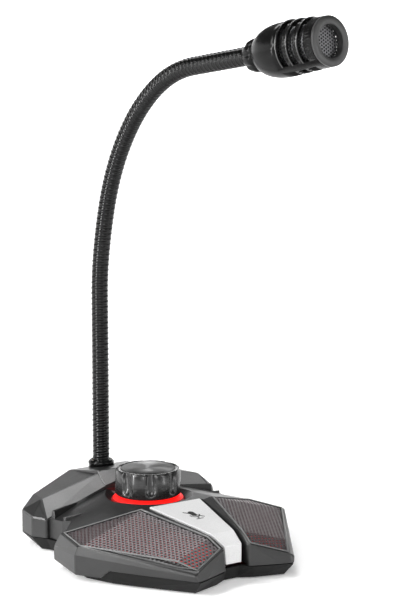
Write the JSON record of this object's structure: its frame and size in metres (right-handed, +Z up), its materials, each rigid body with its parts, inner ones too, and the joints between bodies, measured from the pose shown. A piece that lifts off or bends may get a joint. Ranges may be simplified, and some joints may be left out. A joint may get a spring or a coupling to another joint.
{
  "type": "desktop gooseneck microphone",
  "caption": "Desktop microphone on a flexible gooseneck, with a weighted faceted base, fluted volume knob in a lit ring, press-plate mute and lit grilles.",
  "frame": {"origin": "centre of the part's box, on the desk surface under the feet", "axes": "+Z up; -Y towards the speaker, the way the head and the mute plate point; +X to the right of the base seen from the front"},
  "size_m": [0.11, 0.1622, 0.2329],
  "materials": {
    "shell_plastic": "satin, fine moulded grain",
    "tray_plastic": "matte black",
    "grille_metal": "satin perforated sheet",
    "red_diffuser": "translucent red, softly lit",
    "light_ring": "translucent red, lit from below",
    "white_plate": "satin white",
    "knob_black": "glossy black",
    "turned_metal": "radially turned",
    "steel": "plain steel",
    "brass": "turned brass",
    "circuit_board": "solder mask",
    "rubber": "matte",
    "neck_metal": "black oxide, wound wire",
    "head_plastic": "semi-gloss black",
    "ring_grey": "satin dark grey",
    "mesh_metal": "fine punched mesh",
    "foam": "open-cell foam",
    "capsule_metal": "satin"
  },
  "bodies": {
    "base": {"upper_shell": "shell_plastic", "lower_shell": "tray_plastic", "left_grille": "grille_metal", "right_grille": "grille_metal", "left_diffuser": "red_diffuser", "right_diffuser": "red_diffuser", "mute_switch": "tray_plastic", "light_ring": "light_ring", "pot_body": "steel", "pot_nut": "steel", "main_board": "circuit_board", "ring_light_board": "circuit_board", "ballast_plate": "steel", "foot_front_left": "rubber", "foot_front_right": "rubber", "foot_rear_left": "rubber", "foot_rear_right": "rubber", "case_screw_front_left": "steel", "case_screw_front_right": "steel", "case_screw_rear_left": "steel", "case_screw_rear_right": "steel", "cable_gland": "rubber", "neck_collar": "head_plastic", "neck_socket": "brass", "neck_lock_nut": "steel"},
    "volume_knob": {"knob": "knob_black", "knob_cap": "turned_metal", "pot_shaft": "steel"},
    "mute_button": {"mute_plate": "white_plate"},
    "neck_1": {"gooseneck_1": "neck_metal"},
    "neck_2": {"gooseneck_2": "neck_metal"},
    "neck_3": {"gooseneck_3": "neck_metal"},
    "neck_4": {"gooseneck_4": "neck_metal"},
    "neck_5": {"gooseneck_5": "neck_metal"},
    "neck_6": {"gooseneck_6": "neck_metal"},
    "head": {"gooseneck_7": "neck_metal", "head_nut": "head_plastic", "head_shell": "head_plastic", "head_front_ring": "ring_grey", "head_mesh_sleeve": "mesh_metal", "front_mesh": "mesh_metal", "wind_foam": "foam", "capsule_holder": "rubber", "capsule": "capsule_metal"}
  },
  "joints": [
    {"name": "knob_turn", "type": "hinge", "parent": "base", "child": "volume_knob", "pos_m": [0, 0.02727, 0.0238], "axis": [0, 0, 1], "range_deg": [-150, 150]},
    {"name": "mute_press", "type": "slide", "parent": "base", "child": "mute_button", "axis": [0, 0, -1], "range_m": [0, 0.0005], "stiffness_N_per_m": 1500, "springref_m": -0.0004},
    {"name": "neck_lean", "type": "hinge", "parent": "base", "child": "neck_1", "pos_m": [0, 0.06857, 0.0314], "axis": [0.1149, -0.9934, 0], "range_deg": [-20, 20]},
    {"name": "neck_bend", "type": "hinge", "parent": "neck_1", "child": "neck_2", "pos_m": [0, 0.06857, 0.1083], "axis": [0.9934, 0.1149, 0], "range_deg": [-12, 6]},
    {"name": "neck_bend_2", "type": "hinge", "parent": "neck_2", "child": "neck_3", "pos_m": [0.0002, 0.06686, 0.13021], "axis": [0.9934, 0.1149, 0], "range_deg": [-12, 6]},
    {"name": "neck_bend_3", "type": "hinge", "parent": "neck_3", "child": "neck_4", "pos_m": [0.00072, 0.06232, 0.15172], "axis": [0.9934, 0.1149, 0], "range_deg": [-12, 6]},
    {"name": "neck_bend_4", "type": "hinge", "parent": "neck_4", "child": "neck_5", "pos_m": [0.00163, 0.0545, 0.17222], "axis": [0.9934, 0.1149, 0], "range_deg": [-12, 6]},
    {"name": "neck_bend_5", "type": "hinge", "parent": "neck_5", "child": "neck_6", "pos_m": [0.00302, 0.04246, 0.19053], "axis": [0.9934, 0.1149, 0], "range_deg": [-12, 6]},
    {"name": "neck_bend_6", "type": "hinge", "parent": "neck_6", "child": "head", "pos_m": [0.00491, 0.02615, 0.20505], "axis": [0.9934, 0.1149, 0], "range_deg": [-12, 6]}
  ],
  "couplings": [
    {"joint": "neck_bend_2", "follows": "neck_bend", "ratio": 1},
    {"joint": "neck_bend_3", "follows": "neck_bend", "ratio": 1},
    {"joint": "neck_bend_4", "follows": "neck_bend", "ratio": 1},
    {"joint": "neck_bend_5", "follows": "neck_bend", "ratio": 1},
    {"joint": "neck_bend_6", "follows": "neck_bend", "ratio": 1}
  ]
}
